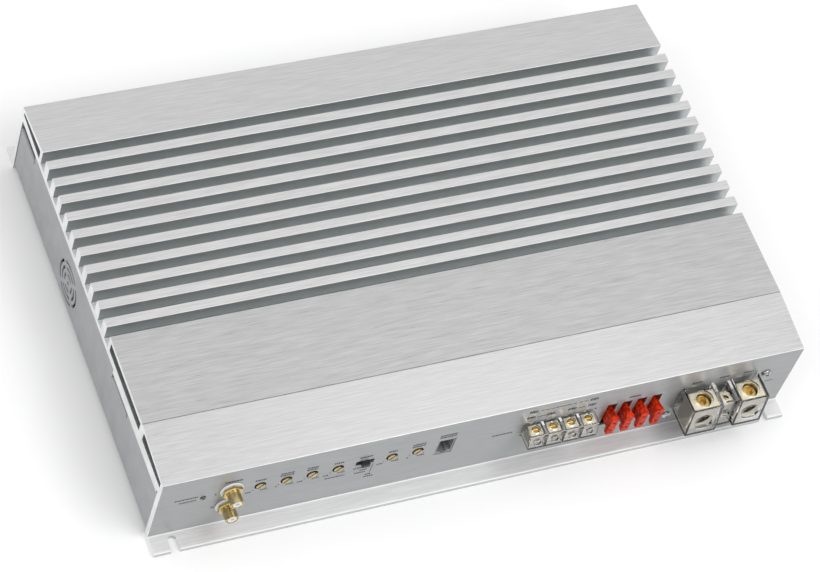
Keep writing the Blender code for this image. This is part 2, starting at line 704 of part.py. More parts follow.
def make_power_terminals():
    """Two big wire clamps and a small one between them, under one clear stepped cover."""
    low_z, high_z = POWER_Z
    skin = 1.5
    shells = []
    hollows = []
    holes = []
    for name, (left, right) in POWER_BOXES.items():
        small = name == "remote"
        depth = POWER_DEPTH - 2.6 * small
        top = high_z - 1.6 * small
        spread = 0.5 * small
        middle = (left + right) / 2
        shell = box(f"{name}_shell", (left - spread, -depth, low_z), (right + spread, -CLEAR, top))
        shells.append(bevel(lean(shell, POWER_LEAN), 0.5))
        inner = ((left + skin, skin - depth, low_z + skin), (right - skin, 2, top - skin))
        hollows.append(lean(box(f"{name}_hollow", *inner), POWER_LEAN))
        key, wire = (3.0, 2.6) if small else (5.9, 6.3)
        centre = (middle, POWER_SCREW_Y, top)
        holes.append(cylinder(f"{name}_key_hole", centre, key, 6, sides=32))
        front = (middle, -depth - 1, WIRE_Z)
        holes.append(cylinder(f"{name}_wire_hole", front, wire, 8, TOWARDS_FRONT, 32))
        clamp_top = top - skin - CLEAR - 2.1 * small
        make_power_clamp(name, middle, (right - left) / 2 - skin - CLEAR, depth - skin - CLEAR, clamp_top)
    cover = shells[0]
    cover.name = "power_terminal_cover"
    join(cover, *shells[1:])
    cut(cover, *hollows, *holes)
    finish(cover, CLEAR_PLASTIC)


def make_power_clamp(name, x, half, depth, top):
    """A metal block bored for the wire from the front and for its set screw from above."""
    small = name == "remote"
    bore, thread = (1.9, 1.9) if small else (5.2, 5.0)
    back = POWER_CLAMP_BACK[name]
    block = box(f"{name}_terminal", (x - half, -depth, POWER_Z[0] + 1.8), (x + half, back, top))
    bevel(block, 0.4, 1)
    reach = 2.0 if small else 5.5
    bar = box(f"{name}_bar", (x - reach, back - 1.8, WIRE_Z - 1), (x + reach, 14, WIRE_Z + 1))
    leg = box(f"{name}_leg", (x - reach, 12, BOARD_TOP), (x + reach, 14, WIRE_Z + 0.5))
    join(block, bar, leg)
    near, far = -depth - 3, back - 0.8
    wire_centre = (x, (near + far) / 2, WIRE_Z)
    wire = cylinder(f"{name}_bore", wire_centre, bore, far - near, TOWARDS_FRONT, 32)
    key = cylinder(f"{name}_thread", (x, POWER_SCREW_Y, WIRE_Z + 10), thread, 20, sides=32)
    cut(block, wire, key)
    finish(block, PALE_GOLD)
    radius = thread - CLEAR
    seat = WIRE_Z + bore + 0.2
    height = top - seat - (0.5 if small else 2.2)
    profile = [(0, height), (radius - 0.4, height), (radius, height - 0.4), (radius, 0), (0, 0)]
    screw = turned(f"{name}_set_screw", profile, (x, POWER_SCREW_Y, seat), sides=32)
    if small:
        low = (x - 3, POWER_SCREW_Y - 0.3, seat + height - 0.9)
        high = (x + 3, POWER_SCREW_Y + 0.3, seat + height + 1)
        cut(screw, box(f"{name}_screw_slot", low, high))
    else:
        socket = (x, POWER_SCREW_Y, seat + height)
        cut(screw, cylinder(f"{name}_socket", socket, 2.7, 4.4, sides=6))
    finish(screw, GOLD)


def make_panel_screws():
    """Pan heads with a cross recess, which hold the terminal blocks to the wall."""
    for side, (x, z) in PANEL_SCREWS.items():
        profile = [(0, 2.3), (1.6, 2.1), (2.6, 1.5), (3.1, 0.8)]
        profile += [(3.1, CLEAR), (1.5, CLEAR), (1.5, -9), (0, -9)]
        screw = turned(f"panel_screw_{side}", profile, (x, 0, z), TOWARDS_FRONT, 20)
        bars = []
        for i, turn in enumerate((25, 115)):
            bar = box(f"cross_{side}_{i}", (x - 1.7, -4, z - 0.35), (x + 1.7, -1.1, z + 0.35))
            bar.rotation_euler = (0, math.radians(turn), 0)
            bars.append(bar)
        cut(screw, *bars)
        finish(screw, STEEL)


# ---------------------------------------------------------------- inside


def make_main_board():
    back = BACK_EDGE[0] - BACK_WALL - CLEAR
    board = box("main_board", (-194, FRONT_WALL + CLEAR, BOARD[0]), (205, back, BOARD[1]))
    finish(board, BOARD_GREEN)


def make_power_parts():
    """Transformers, reservoir capacitors and an output inductor, standing on the main board."""
    for i, x in enumerate((75, 140)):
        core = ring(f"toroid_transformer_{i + 1}", 19, 8, (x, 150, BOARD_TOP + 8))
        finish(core, COPPER)
    for i, x in enumerate((-10, 22)):
        profile = [(0, 32), (11.6, 32), (12.5, 31.2), (12.5, 0.8), (11.8, 0), (0, 0)]
        can = turned(f"reservoir_capacitor_{i + 1}", profile, (x, 150, BOARD_TOP), sides=28)
        finish(can, BLACK_PLASTIC)
    drum = [(0, 22), (9, 22), (9, 20), (7.5, 19.4), (7.5, 2.6), (9, 2), (9, 0), (0, 0)]
    finish(turned("output_inductor", drum, (-60, 150, BOARD_TOP), sides=24), COPPER)


def make_transistors():
    """A power transistor against each pad, and the bar that presses the row up to it."""
    for name, middle, inwards in (("front", 74, 1), ("back", 257, -1)):
        top = PAD_UNDER - CLEAR
        case = ((-8 + 40, middle - 7.5, top - 4.8), (8 + 40, middle + 7.5, top))
        device = box(f"power_transistor_{name}", *case)
        edge = middle + inwards * 7.5
        legs = []
        for i, offset in enumerate((-5.4, 0, 5.4)):
            x = 40 + offset
            near, far = sorted((edge - inwards, edge + inwards * 3))
            legs.append(box(f"{name}_lead_{i}", (x - 0.6, near, top - 3.4), (x + 0.6, far, top - 2.6)))
            near, far = sorted((edge + inwards * 2.2, edge + inwards * 3))
            legs.append(box(f"{name}_pin_{i}", (x - 0.6, near, BOARD_TOP), (x + 0.6, far, top - 2.8)))
        join(device, *legs)
        finish(device, BLACK_PLASTIC)
        under = top - 4.8 - CLEAR
        bar = box(f"transistor_clamp_{name}", (-180, middle - 5, under - 3), (180, middle + 5, under))
        finish(bar, STEEL)


def make_fan():
    """A small square fan behind the left grille, blowing along X."""
    y, z = FAN_CENTRE
    near = -TRAY_X + SHEET + 0.4
    far = near + FAN_DEPTH
    half = FAN_SIDE / 2
    loops = [
        rounded([(*corner, 2) for corner in rectangle((y - half, z - half), (y + half, z + half))]),
        [(y + (half - 1) * math.cos(a), z + (half - 1) * math.sin(a)) for a in turns(32)],
    ]
    frame = outline("fan_frame", loops, FAN_DEPTH, ((near + far) / 2, 0, 0), ALONG_X)
    extras = [cylinder("fan_hub_disc", (far - 0.75, y, z), 7, 1.5, (0, math.pi / 2, 0))]
    for i, (across, up) in enumerate(((1, 0), (0, 1))):
        reach = half - 0.5
        low = (far - 1.5, y - reach * across - 1 * up, z - reach * up - 1 * across)
        high = (far, y + reach * across + 1 * up, z + reach * up + 1 * across)
        extras.append(box(f"fan_strut_{i}", low, high))
    join(frame, *extras)
    cut(frame, cylinder("fan_bearing", (far, y, z), 1.3, 6, (0, math.pi / 2, 0), 12))
    finish(frame, BLACK_PLASTIC)
    hub = (-TRAY_X + SHEET + 1.2, y, z)
    profile = [(0, 8.4), (0.9, 8.4), (0.9, 6.6), (7, 6.6), (7, 0.6), (6.4, 0), (0, 0)]
    rotor = turned("fan_rotor", profile, hub, (0, math.pi / 2, 0), 28)
    blades = []
    for i, angle in enumerate(turns(7)):
        blade = box(f"fan_blade_{i}", (0, 0, 0), (0.9, 7.2, 9.6))
        blade.location = Vector((hub[0] + 3.6, y, z)) * MM
        reach = Matrix.Translation((0, 0, 11.0 * MM))
        pitch = Matrix.Rotation(math.radians(40), 4, "Z")
        blade.data.transform(Matrix.Rotation(angle, 4, "X") @ reach @ pitch)
        blades.append(blade)
    join(rotor, *blades)
    finish(rotor, BLACK_PLASTIC)


# ---------------------------------------------------------------- build

clear_scene()
PARTS = new_collection("car_amplifier")
CUTTERS = new_collection("cutters")
ROOT = bpy.data.objects.new("car_amplifier_root", None)
PARTS.objects.link(ROOT)
ROOT.location = (0, Y_SHIFT * MM, 0)

ALUMINIUM = new_material("brushed_aluminium", (0.68, 0.68, 0.68), 0.38, 1.0)
END_PAINT = new_material("grey_end_paint", (0.30, 0.30, 0.31), 0.55, 0.6)
GOLD = new_material("gold_plate", (0.75, 0.58, 0.22), 0.25, 1.0)
PALE_GOLD = new_material("pale_gold_plate", (0.80, 0.72, 0.52), 0.28, 1.0)
BRASS = new_material("brass", (0.72, 0.56, 0.26), 0.32, 1.0)
STEEL = new_material("zinc_steel", (0.62, 0.62, 0.63), 0.3, 1.0)
BLACK_STEEL = new_material("black_steel", (0.04, 0.04, 0.04), 0.4, 1.0)
WHITE_NYLON = new_material("white_nylon", (0.86, 0.86, 0.85), 0.45)
BLACK_PLASTIC = new_material("black_plastic", (0.02, 0.02, 0.02), 0.5)
GREY_PLASTIC = new_material("grey_plastic", (0.12, 0.12, 0.12), 0.5)
CLEAR_PLASTIC = new_material("clear_plastic", (0.72, 0.70, 0.66), 0.12, 0.0, 0.35)
FUSE_RED = new_material("fuse_red", (0.62, 0.04, 0.02), 0.3)
LED_LENS = new_material("led_lens", (0.08, 0.10, 0.12), 0.2)
BOARD_GREEN = new_material("board_green", (0.02, 0.14, 0.06), 0.5)
COPPER = new_material("enamelled_copper", (0.55, 0.22, 0.08), 0.35, 0.8)

make_extrusion()
make_tray()
make_tray_screws()
make_led()
for rca_level, rca_z in RCA_HEIGHTS.items():
    make_rca(rca_level, rca_z)
make_trim_pots()
make_mode_switch()
make_remote_jack()
make_speaker_terminals()
make_fuses()
make_power_terminals()
make_panel_screws()
make_main_board()
make_power_parts()
make_transistors()
make_fan()
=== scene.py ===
"""The finished look of the car amplifier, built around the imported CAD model.

The CAD pieces keep their shapes and get procedural materials here. This script adds the
pieces that repeat inside the case, the contacts of the modular jack, the printed marks on the
front wall, and the floor, lights and camera.
"""

import itertools
import json
import math

import bmesh
import bpy
from mathutils import Matrix, Vector


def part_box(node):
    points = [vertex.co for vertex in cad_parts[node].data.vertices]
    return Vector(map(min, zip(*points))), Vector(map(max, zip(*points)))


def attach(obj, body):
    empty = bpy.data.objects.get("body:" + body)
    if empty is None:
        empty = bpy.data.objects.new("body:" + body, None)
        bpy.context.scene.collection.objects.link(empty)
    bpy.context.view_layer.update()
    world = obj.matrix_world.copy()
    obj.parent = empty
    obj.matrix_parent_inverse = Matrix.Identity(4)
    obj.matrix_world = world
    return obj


MM = 0.001
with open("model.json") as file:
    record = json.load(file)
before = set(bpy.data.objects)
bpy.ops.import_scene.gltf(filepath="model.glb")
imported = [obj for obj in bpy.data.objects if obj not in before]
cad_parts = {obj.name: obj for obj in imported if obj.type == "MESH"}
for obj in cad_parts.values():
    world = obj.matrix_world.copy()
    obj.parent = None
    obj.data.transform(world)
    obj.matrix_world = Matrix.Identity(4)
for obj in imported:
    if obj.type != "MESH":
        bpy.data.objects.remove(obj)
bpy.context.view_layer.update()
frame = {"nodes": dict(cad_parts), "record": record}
NODES = frame["nodes"]

COVER_GAP = 0.3 * MM
WALL_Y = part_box("speaker_terminal_cover")[1].y + COVER_GAP  # the front wall's outer face

SPEAKER_WAYS = range(1, 5)
TRIM_CONTROLS = range(1, 7)


def at(x, y, z):
    """A place in millimetres, with y counted backwards from the front wall's outer face."""
    return Vector((x * MM, WALL_Y + y * MM, z * MM))


# ---------------------------------------------------------------- materials


class Nodes:
    """A short way to write a material's node tree."""

    def __init__(self, name):
        self.material = bpy.data.materials.new(name)
        self.material.use_nodes = True
        self.tree = self.material.node_tree
        self.shader = self.tree.nodes["Principled BSDF"]
        self.place = self.add("ShaderNodeTexCoord").outputs["Object"]

    def add(self, kind, **settings):
        node = self.tree.nodes.new(kind)
        for key, value in settings.items():
            setattr(node, key, value)
        return node

    def link(self, source, target):
        self.tree.links.new(source, target)

    def scaled(self, scale):
        """Object coordinates stretched by a vector, so that noise runs along one direction."""
        mapping = self.add("ShaderNodeMapping")
        mapping.inputs["Scale"].default_value = scale
        self.link(self.place, mapping.inputs["Vector"])
        return mapping.outputs["Vector"]

    def noise(self, size=1.0, detail=3.0, roughness=0.5, scale=(1, 1, 1)):
        node = self.add("ShaderNodeTexNoise")
        node.inputs["Scale"].default_value = size
        node.inputs["Detail"].default_value = detail
        node.inputs["Roughness"].default_value = roughness
        self.link(self.scaled(scale), node.inputs["Vector"])
        return node.outputs["Fac"]

    def remap(self, value, low, high, source=(0.3, 0.7)):
        node = self.add("ShaderNodeMapRange")
        node.inputs["From Min"].default_value = source[0]
        node.inputs["From Max"].default_value = source[1]
        node.inputs["To Min"].default_value = low
        node.inputs["To Max"].default_value = high
        self.link(value, node.inputs["Value"])
        return node.outputs["Result"]

    def math(self, operation, first, second):
        node = self.add("ShaderNodeMath", operation=operation)
        for socket, value in zip(node.inputs, (first, second)):
            if isinstance(value, (int, float)):
                socket.default_value = value
            else:
                self.link(value, socket)
        return node.outputs["Value"]

    def ramp(self, value, stops):
        """Colours by value; stops are (position, colour)."""
        node = self.add("ShaderNodeValToRGB")
        elements = node.color_ramp.elements
        while len(elements) < len(stops):
            elements.new(0.5)
        for element, (position, colour) in zip(elements, stops):
            element.position = position
            element.color = (*colour, 1.0)
        self.link(value, node.inputs["Fac"])
        return node.outputs["Color"]

    def colour(self, output):
        self.link(output, self.shader.inputs["Base Color"])

    def roughness(self, output):
        self.link(output, self.shader.inputs["Roughness"])

    def bump(self, height, distance):
        node = self.add("ShaderNodeBump")
        node.inputs["Strength"].default_value = 1.0
        node.inputs["Distance"].default_value = distance
        self.link(height, node.inputs["Height"])
        self.link(node.outputs["Normal"], self.shader.inputs["Normal"])

    def set(self, **values):
        """Sets the shader's plain inputs; an underscore stands for a space in an input's name."""
        for name, value in values.items():
            self.shader.inputs[name.replace("_", " ")].default_value = value


FINE_GRAIN = (60, 1500, 1500)  # noise scales that draw a scratch out along X
BROAD_GRAIN = (22, 600, 600)
SCRATCH_SHARE = 0.8  # the rest of the pattern is the broad bands


def brushed_metal(name, dark, light, roughness, grain=0.000012, stretch=0.0, metallic=1.0):
    """Metal with a fine straight grain, whose scratches vary in shade and in gloss."""
    made = Nodes(name)
    scratches = made.noise(detail=3.0, roughness=0.6, scale=FINE_GRAIN)
    bands = made.noise(detail=2.0, scale=BROAD_GRAIN)
    fine_part = made.math("MULTIPLY", scratches, SCRATCH_SHARE)
    broad_part = made.math("MULTIPLY", bands, 1 - SCRATCH_SHARE)
    mixed = made.math("ADD", fine_part, broad_part)
    made.colour(made.ramp(mixed, [(0.32, dark), (0.68, light)]))
    made.roughness(made.remap(mixed, roughness - 0.07, roughness + 0.07))
    made.bump(scratches, grain)
    made.set(Metallic=metallic, Anisotropic=stretch, Anisotropic_Rotation=0.25)
    return made.material


def cast_metal(name, dark, light, roughness):
    """Plated or turned metal: slight changes in shade and gloss, and a faint texture."""
    made = Nodes(name)
    cloud = made.noise(160, detail=3.0)
    speck = made.noise(2700, detail=2.0)
    made.colour(made.ramp(cloud, [(0.3, dark), (0.7, light)]))
    made.roughness(made.remap(cloud, roughness - 0.06, roughness + 0.08))
    made.bump(speck, 0.00001)
    made.set(Metallic=1.0)
    return made.material


def moulded(name, dark, light, roughness, coat=0.0):
    """Moulded plastic or paint: an even colour with a little mottle over a fine texture."""
    made = Nodes(name)
    cloud = made.noise(90, detail=4.0)
    speck = made.noise(1500, detail=2.0)
    made.colour(made.ramp(cloud, [(0.3, dark), (0.7, light)]))
    made.roughness(made.remap(speck, roughness - 0.06, roughness + 0.06))
    made.bump(speck, 0.00002)
    made.set(Coat_Weight=coat, Coat_Roughness=0.08)
    return made.material


def clear_plastic():
    """Faintly smoked polycarbonate: seen through, glossy, with slight flow marks."""
    made = Nodes("smoked_clear")
    cloud = made.noise(120, detail=3.0)
    made.colour(made.ramp(cloud, [(0.3, (0.93, 0.925, 0.90)), (0.7, (0.98, 0.975, 0.96))]))
    made.roughness(made.remap(cloud, 0.03, 0.10))
    made.bump(cloud, 0.00003)
    made.set(Transmission_Weight=1.0, IOR=1.5)
    return made.material


def fuse_plastic():
    """Red plastic that looks clouded: deep red in some places, bright in others."""
    made = Nodes("fuse_red")
    cloud = made.noise(420, detail=3.0)
    speck = made.noise(1900, detail=2.0)
    made.colour(made.ramp(cloud, [(0.32, (0.20, 0.003, 0.001)), (0.68, (0.85, 0.045, 0.004))]))
    made.roughness(made.remap(cloud, 0.16, 0.30))
    made.bump(speck, 0.00004)
    made.set(Specular_IOR_Level=0.10)
    return made.material


def winding():
    """Enamelled wire wound round a ring: fine dark gaps between bright copper turns."""
    made = Nodes("copper_winding")
    wave = made.add("ShaderNodeTexWave", wave_type="BANDS", bands_direction="DIAGONAL")
    wave.inputs["Scale"].default_value = 420
    wave.inputs["Distortion"].default_value = 1.5
    made.link(made.place, wave.inputs["Vector"])
    made.colour(made.ramp(wave.outputs["Fac"], [(0.1, (0.10, 0.03, 0.01)), (0.6, (0.60, 0.22, 0.07))]))
    made.roughness(made.remap(wave.outputs["Fac"], 0.45, 0.25, (0, 1)))
    made.bump(wave.outputs["Fac"], 0.0002)
    made.set(Metallic=0.8)
    return made.material


def board():
    """Solder mask over copper tracks that show as paler lines."""
    made = Nodes("board_green")
    tracks = made.add("ShaderNodeTexBrick", offset=0.5)
    tracks.inputs["Scale"].default_value = 90
    tracks.inputs["Mortar Size"].default_value = 0.03
    tracks.inputs["Color1"].default_value = (0.010, 0.10, 0.045, 1)
    tracks.inputs["Color2"].default_value = (0.012, 0.13, 0.055, 1)
    tracks.inputs["Mortar"].default_value = (0.03, 0.22, 0.09, 1)
    made.link(made.place, tracks.inputs["Vector"])
    made.colour(tracks.outputs["Color"])
    speck = made.noise(800)
    made.roughness(made.remap(speck, 0.28, 0.42))
    made.bump(speck, 0.00002)
    return made.material


ALUMINIUM = brushed_metal("brushed_aluminium", (0.50, 0.50, 0.50), (0.66, 0.66, 0.66), 0.34)
# Painted shade: the front wall's aluminium is darker than the top's.
WALL_PAINTED_SHADE = brushed_metal(
    "front_wall_painted_shade_aluminium", (0.37, 0.375, 0.38), (0.46, 0.465, 0.47), 0.47, 0.000012, 0.8
)
# Painted light: the flanges' aluminium is lighter than the top's.
FLANGE_PAINTED_LIGHT = brushed_metal(
    "flange_painted_light_aluminium", (0.78, 0.78, 0.78), (0.92, 0.92, 0.92), 0.56, metallic=0.7
)
# Painted light: the fin tops' aluminium is lighter than the flat top's.
FIN_TOP_PAINTED_LIGHT = brushed_metal("fin_top_painted_light_aluminium", (0.64, 0.64, 0.64), (0.80, 0.80, 0.80), 0.36)
# Mill-finish aluminium for the fin sides, gap floors and the other faces that are not brushed or sawn,
# darker as painted shade.
MILL_PAINTED_SHADE = brushed_metal("mill_painted_shade_aluminium", (0.52, 0.54, 0.54), (0.62, 0.64, 0.64), 0.42, 0.000004)
SAWN_FINISH = cast_metal("sawn_aluminium", (0.84, 0.84, 0.84), (0.94, 0.94, 0.94), 0.42)
END_PAINT = moulded("grey_end_paint", (0.34, 0.345, 0.355), (0.39, 0.395, 0.405), 0.5)
GOLD = cast_metal("gold_plate", (0.48, 0.37, 0.16), (0.68, 0.56, 0.30), 0.20)
PALE_GOLD = brushed_metal("pale_gold", (0.90, 0.82, 0.62), (1.0, 0.94, 0.78), 0.30)
# Painted shade on the terminal clamps: the fronts darker than the plated tops, the sides darker still.
CLAMP_FRONT_SHADE = brushed_metal("clamp_front_painted_shade", (0.46, 0.43, 0.37), (0.60, 0.57, 0.50), 0.34)
CLAMP_SIDE_SHADE = brushed_metal("clamp_side_painted_shade", (0.30, 0.27, 0.21), (0.42, 0.38, 0.30), 0.36)
SCREW_GOLD = cast_metal("screw_gold", (0.48, 0.33, 0.10), (0.72, 0.52, 0.20), 0.16)
BRASS = cast_metal("brass", (0.42, 0.32, 0.15), (0.62, 0.50, 0.28), 0.26)
# Painted shade: near-black brass for the insides of the screwdriver slots.
SLOT_SHADE_BRASS = cast_metal("brass_slot_painted_shade", (0.07, 0.05, 0.02), (0.12, 0.09, 0.04), 0.5)
STEEL = cast_metal("zinc_steel", (0.42, 0.42, 0.43), (0.66, 0.66, 0.67), 0.28)
DARK_STEEL = cast_metal("black_steel", (0.03, 0.03, 0.032), (0.08, 0.08, 0.085), 0.38)
WHITE = moulded("white_nylon", (0.80, 0.80, 0.79), (0.88, 0.88, 0.87), 0.42)
BLACK = moulded("black_plastic", (0.010, 0.010, 0.011), (0.020, 0.020, 0.021), 0.42)
HOLDER_BLACK = moulded("holder_black", (0.003, 0.003, 0.003), (0.007, 0.007, 0.007), 0.7)
GREY = moulded("grey_plastic", (0.20, 0.20, 0.205), (0.26, 0.26, 0.265), 0.4)
LENS = moulded("led_lens", (0.02, 0.025, 0.03), (0.04, 0.045, 0.05), 0.15, 1.0)
INK = moulded("dark_ink", (0.018, 0.018, 0.020), (0.035, 0.035, 0.037), 0.6)
CLEAR = clear_plastic()
FUSE = fuse_plastic()
COPPER = winding()
BOARD = board()

SLOT_MATERIALS = {
    "brushed_aluminium": ALUMINIUM,
    "grey_end_paint": END_PAINT,
    "gold_plate": GOLD,
    "pale_gold_plate": PALE_GOLD,
    "brass": BRASS,
    "zinc_steel": STEEL,
    "black_steel": DARK_STEEL,
    "white_nylon": WHITE,
    "black_plastic": BLACK,
    "grey_plastic": GREY,
    "clear_plastic": CLEAR,
    "fuse_red": FUSE,
    "led_lens": LENS,
    "board_green": BOARD,
    "copper": COPPER,
}


# ---------------------------------------------------------------- smoothing of the CAD pieces


def smoothing_group():
    """Geometry nodes that weld a CAD mesh and shade it smooth, except over folds and fine bends."""
    group = bpy.data.node_groups.new("smooth_rounds", "GeometryNodeTree")
    group.interface.new_socket("Geometry", in_out="INPUT", socket_type="NodeSocketGeometry")
    group.interface.new_socket("Geometry", in_out="OUTPUT", socket_type="NodeSocketGeometry")
    add = group.nodes.new
    start = add("NodeGroupInput")
    end = add("NodeGroupOutput")
    weld = add("GeometryNodeMergeByDistance")
    weld.inputs["Distance"].default_value = 0.000002
    angle = add("GeometryNodeInputMeshEdgeAngle")
    fold = add("FunctionNodeCompare")
    fold.inputs["B"].default_value = math.radians(36)
    bend = add("FunctionNodeCompare")
    bend.operation = "LESS_THAN"
    bend.inputs["B"].default_value = math.radians(7)
    either = add("FunctionNodeBooleanMath")
    either.operation = "OR"
    faces = add("GeometryNodeSetShadeSmooth")
    edges = add("GeometryNodeSetShadeSmooth")
    edges.domain = "EDGE"
    edges.inputs["Shade Smooth"].default_value = False
    link = group.links.new
    link(start.outputs[0], weld.inputs["Geometry"])
    link(weld.outputs["Geometry"], faces.inputs["Geometry"])
    link(faces.outputs["Geometry"], edges.inputs["Geometry"])
    link(angle.outputs["Unsigned Angle"], fold.inputs["A"])
    link(angle.outputs["Unsigned Angle"], bend.inputs["A"])
    link(fold.outputs["Result"], either.inputs[0])
    link(bend.outputs["Result"], either.inputs[1])
    link(either.outputs["Boolean"], edges.inputs["Selection"])
    link(edges.outputs["Geometry"], end.inputs[0])
    return group


FINS_START = WALL_Y + 101 * MM  # the top is plain in front of this line
WALL_FOOT = 3.2 * MM  # below this, a face that looks forwards is the flange's edge
FLANGE_TOP = 4 * MM  # just over the flanges' upper faces
OUTSIDE_DROP = 8 * MM  # the top's own faces are centred this close under its highest plane


def finish_and_shade_extrusion():
    """The outside is brushed and the ends are sawn bright; the rest is as it left the die. The front
    wall and the die-finished faces are darker as painted shade, and the fin tops and flanges lighter
    as painted light.
    """
    mesh = NODES["heatsink_extrusion"].data
    for finish in (WALL_PAINTED_SHADE, FLANGE_PAINTED_LIGHT, FIN_TOP_PAINTED_LIGHT, MILL_PAINTED_SHADE, SAWN_FINISH):
        mesh.materials.append(finish)
    brushed, wall, flange, fin, mill_shade, sawn = range(6)
    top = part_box("heatsink_extrusion")[1].z
    for face in mesh.polygons:
        facing, place = face.normal, face.center
        if abs(facing.x) > 0.9:
            face.material_index = sawn
        elif facing.y < -0.9 and place.y < WALL_Y + 0.5 * MM and place.z > WALL_FOOT:
            face.material_index = wall
        elif facing.z > 0.3 and place.z > top - OUTSIDE_DROP:
            face.material_index = fin if place.y > FINS_START else brushed
        elif facing.z > 0.3 and place.z < FLANGE_TOP:
            face.material_index = flange
        else:
            face.material_index = mill_shade


def shade_clamp_faces():
    """The terminals' metal blocks: the plating's colour on top, with painted shade in front and darker
    painted shade at the sides.
    """
    speaker_clamps = [f"speaker_clamp_{i}" for i in SPEAKER_WAYS]
    for name in ("ground_terminal", "remote_terminal", "battery_terminal", *speaker_clamps):
        mesh = NODES[name].data
        mesh.materials.append(CLAMP_FRONT_SHADE)
        mesh.materials.append(CLAMP_SIDE_SHADE)
        for face in mesh.polygons:
            if face.normal.z < 0.6:
                face.material_index = 2 if abs(face.normal.x) > 0.6 else 1


CONTROL_BOARD_THICK = 1.7 * MM


def finish_trim_bodies():
    """The trim controls' own bodies, in front of the board that carries them, are black."""
    mesh = NODES["control_board"].data
    mesh.materials.append(BLACK)
    board_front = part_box("control_board")[1].y - CONTROL_BOARD_THICK
    for face in mesh.polygons:
        if face.center.y < board_front:
            face.material_index = 1


def shade_spindle_slots():
    """The screwdriver slots' walls and floors are darker than the brass, as painted shade."""
    for i in TRIM_CONTROLS:
        mesh = NODES[f"trim_spindle_{i}"].data
        mesh.materials.append(SLOT_SHADE_BRASS)
        low = Vector(min(v.co[axis] for v in mesh.vertices) for axis in range(3))
        high = Vector(max(v.co[axis] for v in mesh.vertices) for axis in range(3))
        middle = (low + high) / 2
        inner_radius = 0.8 * (high.x - low.x) / 2
        for face in mesh.polygons:
            off_axis = math.hypot(face.center.x - middle.x, face.center.z - middle.z)
            depth = face.center.y - low.y
            if 0.1 * MM < depth < 1.2 * MM and off_axis < inner_radius:
                face.material_index = 1


FLAT_SHADED = ("heatsink_extrusion", "bottom_tray", "main_board")  # long flats and tiny rounds


def dress_cad():
    """Gives each CAD piece the material of its slot, then the finishes and the painted light and shade
    that vary over a piece.
    """
    group = smoothing_group()
    slots = {s["node"]: s["material_slot"] for s in frame["record"]["subparts"]}
    for name, node in NODES.items():
        node.data.materials.clear()
        node.data.materials.append(SLOT_MATERIALS[slots[name]])
        if name not in FLAT_SHADED:
            smooth = node.modifiers.new("Smooth rounds", "NODES")
            smooth.node_group = group
            even = node.modifiers.new("Level flats", "WEIGHTED_NORMAL")
            even.keep_sharp = True
    finish_and_shade_extrusion()
    shade_clamp_faces()
    finish_trim_bodies()
    shade_spindle_slots()
    screws = [f"speaker_screw_{i}" for i in SPEAKER_WAYS]
    for name in (*screws, "ground_set_screw", "remote_set_screw", "battery_set_screw"):
        NODES[name].data.materials[0] = SCREW_GOLD
    NODES["fuse_holder"].data.materials[0] = HOLDER_BLACK


# ---------------------------------------------------------------- mesh helpers


def piece(name, data, material):
    """An object of the case, from a mesh or a curve."""
    obj = bpy.data.objects.new(name, data)
    bpy.context.scene.collection.objects.link(obj)
    data.materials.append(material)
    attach(obj, "case")
    return obj


def merged(name, shapes, material, bevel=0.0):
    """One object from several bmesh-building functions, with softened edges."""
    shape = bmesh.new()
    for build in shapes:
        build(shape)
    mesh = bpy.data.meshes.new(name)
    shape.to_mesh(mesh)
    shape.free()
    obj = piece(name, mesh, material)
    if bevel:
        modifier = obj.modifiers.new("Soft edges", "BEVEL")
        modifier.width = bevel * MM
        modifier.segments = 2
        modifier.limit_method = "ANGLE"
    return obj


def block(low, high, turn=None):
    """Adds a box between two corners; turn is a matrix applied about its middle."""

    def build(shape):
        size = high - low
        place = Matrix.Translation((low + high) / 2) @ (turn or Matrix.Identity(4))
        bmesh.ops.create_cube(shape, size=1, matrix=place @ Matrix.Diagonal((*size, 1)))

    return build


def rod(centre, radius, length, turn=None, sides=20):
    """Adds a capped cylinder, lying along its own Z before turn."""

    def build(shape):
        place = Matrix.Translation(centre) @ (turn or Matrix.Identity(4))
        bmesh.ops.create_cone(
            shape,
            cap_ends=True,
            segments=sides,
            radius1=radius * MM,
            radius2=radius * MM,
            depth=length * MM,
            matrix=place,
        )

    return build


# ---------------------------------------------------------------- the printed marks

MARK_THICK = 0.05  # how far a mark stands out of the wall
MARK_SUNK = 0.02  # how far a mark's back lies in the wall
BAR_WIDTHS = (0.9, 0.6, 1.1, 0.7)
BAR_GAP = 0.4
LINE_PITCH = 2.3
SMALL = 1.2  # the height of the smaller captions
MEDIUM = 1.3
TALL = 2.6


def bar(x, z, length, height=0.35, tilt=0.0):
    """One printed stroke on the wall, centred at (x, z)."""
    low = at(x - length / 2, -MARK_THICK, z - height / 2)
    high = at(x + length / 2, MARK_SUNK, z + height / 2)
    return block(low, high, Matrix.Rotation(math.radians(tilt), 4, "Y"))


def caption(x, z, length, lines=1, height=1.5):
    """Stands for a printed caption: rows of short bars that spell nothing."""
    made = []
    end = x + length / 2
    for line in range(lines):
        cursor = x - length / 2
        widths = itertools.cycle(BAR_WIDTHS)
        while cursor < end - BAR_GAP:
            size = min(next(widths), end - cursor)
            made.append(bar(cursor + size / 2, z - LINE_PITCH * line, size, height))
            cursor += size + BAR_GAP
    return made


TICK = 1.6
TICK_TILT = 55


